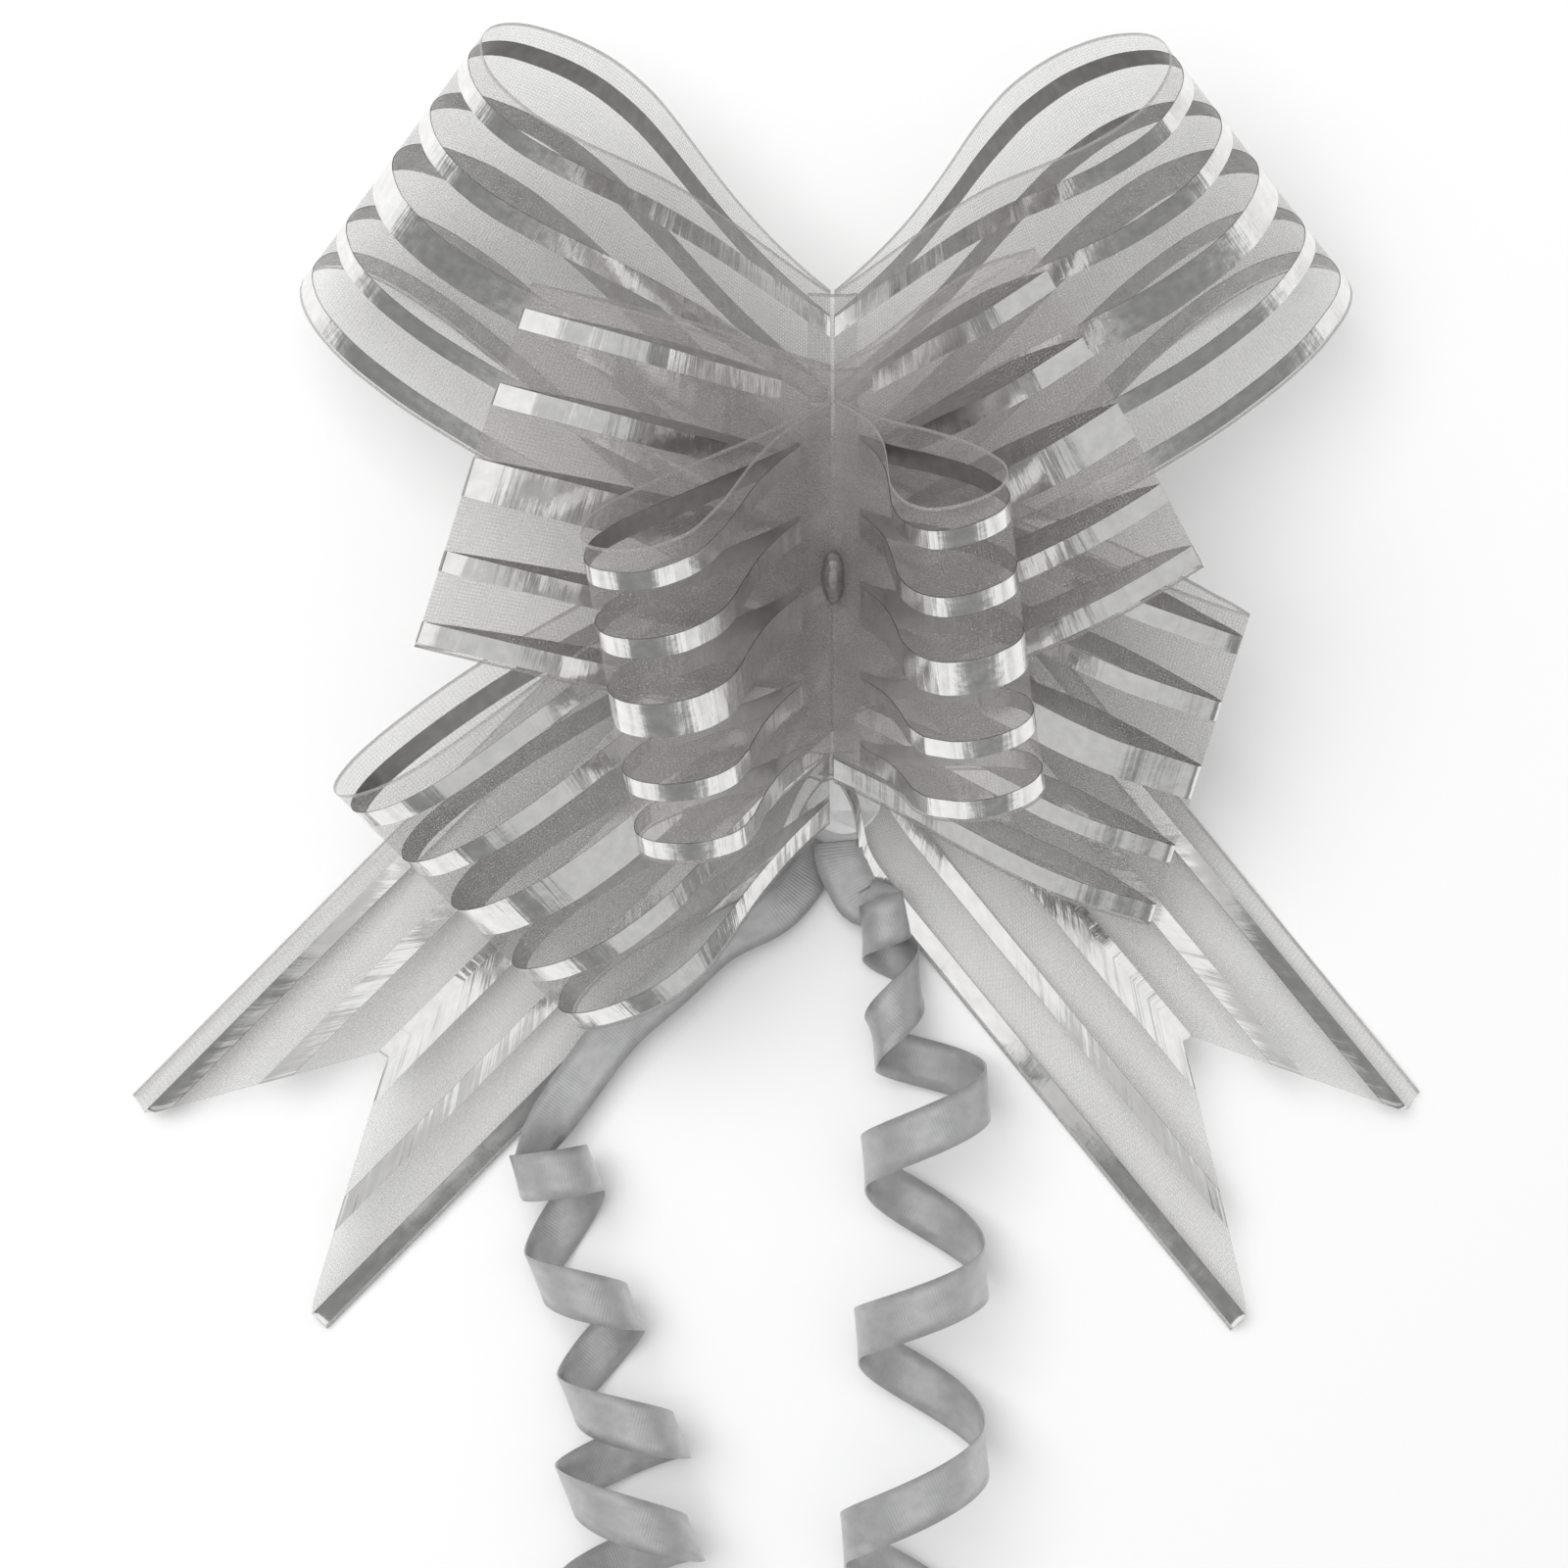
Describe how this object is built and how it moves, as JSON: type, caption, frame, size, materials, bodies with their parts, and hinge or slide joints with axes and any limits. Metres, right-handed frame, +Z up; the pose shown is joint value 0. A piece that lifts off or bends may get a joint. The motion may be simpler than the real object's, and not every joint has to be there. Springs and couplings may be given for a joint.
{
  "type": "gift bow",
  "caption": "Butterfly pull bow of wide striped sheer ribbon with round loops, swallowtail ends and curled narrow pull ribbons, lying on its back.",
  "frame": {"origin": "middle of the footprint of the bow without its free curled ribbon ends, on the surface it lies on", "axes": "+X to the right of the bow as one looks at its face, +Y to its top, +Z up out of the surface towards whoever looks at the face"},
  "size_m": [0.188, 0.2319, 0.0841],
  "materials": {
    "striped_organza": "satin",
    "pull_ribbon_satin": "satin",
    "clear_film": "gloss"
  },
  "bodies": {
    "gather": {"pleat_top": "striped_organza", "pleat_lower": "striped_organza", "pleat_middle": "striped_organza", "pleat_front": "striped_organza", "pleat_tail": "striped_organza", "pull_ribbon_thread": "pull_ribbon_satin", "front_knot": "pull_ribbon_satin", "back_knot": "pull_ribbon_satin", "pull_ribbon_back": "pull_ribbon_satin", "pull_ribbon_lead_left": "pull_ribbon_satin", "pull_ribbon_lead_right": "pull_ribbon_satin", "pull_ribbon_curl_left": "pull_ribbon_satin", "pull_ribbon_curl_left_end": "pull_ribbon_satin", "pull_ribbon_curl_right_start": "pull_ribbon_satin", "pull_ribbon_curl_right": "pull_ribbon_satin", "retaining_tab": "clear_film"},
    "loop_top_left": {"loop_top_left": "striped_organza"},
    "loop_top_right": {"loop_top_right": "striped_organza"},
    "loop_lower_left": {"loop_lower_left": "striped_organza"},
    "loop_lower_right": {"loop_lower_right": "striped_organza"},
    "loop_middle_left": {"loop_middle_left": "striped_organza"},
    "loop_middle_right": {"loop_middle_right": "striped_organza"},
    "loop_front_left": {"loop_front_left": "striped_organza"},
    "loop_front_right": {"loop_front_right": "striped_organza"},
    "tail_left": {"tail_left": "striped_organza"},
    "tail_right": {"tail_right": "striped_organza"}
  },
  "joints": [
    {"name": "top_left_fluff", "type": "hinge", "parent": "gather", "child": "loop_top_left", "pos_m": [0.00501, 0.03118, 0.02202], "axis": [0, 0.9659, 0.2588], "range_deg": [-4, 4]},
    {"name": "top_right_fluff", "type": "hinge", "parent": "gather", "child": "loop_top_right", "pos_m": [0.00881, 0.03118, 0.02202], "axis": [0, -0.9659, -0.2588], "range_deg": [-4, 4]},
    {"name": "lower_left_fluff", "type": "hinge", "parent": "gather", "child": "loop_lower_left", "pos_m": [0.00501, 0.01174, 0.02116], "axis": [0, 0.9659, 0.2588], "range_deg": [-4, 1]},
    {"name": "lower_right_fluff", "type": "hinge", "parent": "gather", "child": "loop_lower_right", "pos_m": [0.00881, 0.01174, 0.02116], "axis": [0, -0.9659, -0.2588], "range_deg": [-4, 1]},
    {"name": "middle_left_fluff", "type": "hinge", "parent": "gather", "child": "loop_middle_left", "pos_m": [0.00501, 0.02032, 0.0278], "axis": [0, 0.9659, 0.2588], "range_deg": [-1, 5]},
    {"name": "middle_right_fluff", "type": "hinge", "parent": "gather", "child": "loop_middle_right", "pos_m": [0.00881, 0.02032, 0.0278], "axis": [0, -0.9659, -0.2588], "range_deg": [-1, 5]},
    {"name": "front_left_fluff", "type": "hinge", "parent": "gather", "child": "loop_front_left", "pos_m": [0.00501, 0.01537, 0.03083], "axis": [0, 0.9659, 0.2588], "range_deg": [-6, 6]},
    {"name": "front_right_fluff", "type": "hinge", "parent": "gather", "child": "loop_front_right", "pos_m": [0.00881, 0.01537, 0.03083], "axis": [0, -0.9659, -0.2588], "range_deg": [-6, 6]},
    {"name": "tail_left_lift", "type": "hinge", "parent": "gather", "child": "tail_left", "pos_m": [0.00501, 0.01256, 0.0104], "axis": [0, 0.9659, 0.2588], "range_deg": [0, 3]},
    {"name": "tail_right_lift", "type": "hinge", "parent": "gather", "child": "tail_right", "pos_m": [0.00881, 0.01256, 0.0104], "axis": [0, -0.9659, -0.2588], "range_deg": [0, 3]}
  ]
}
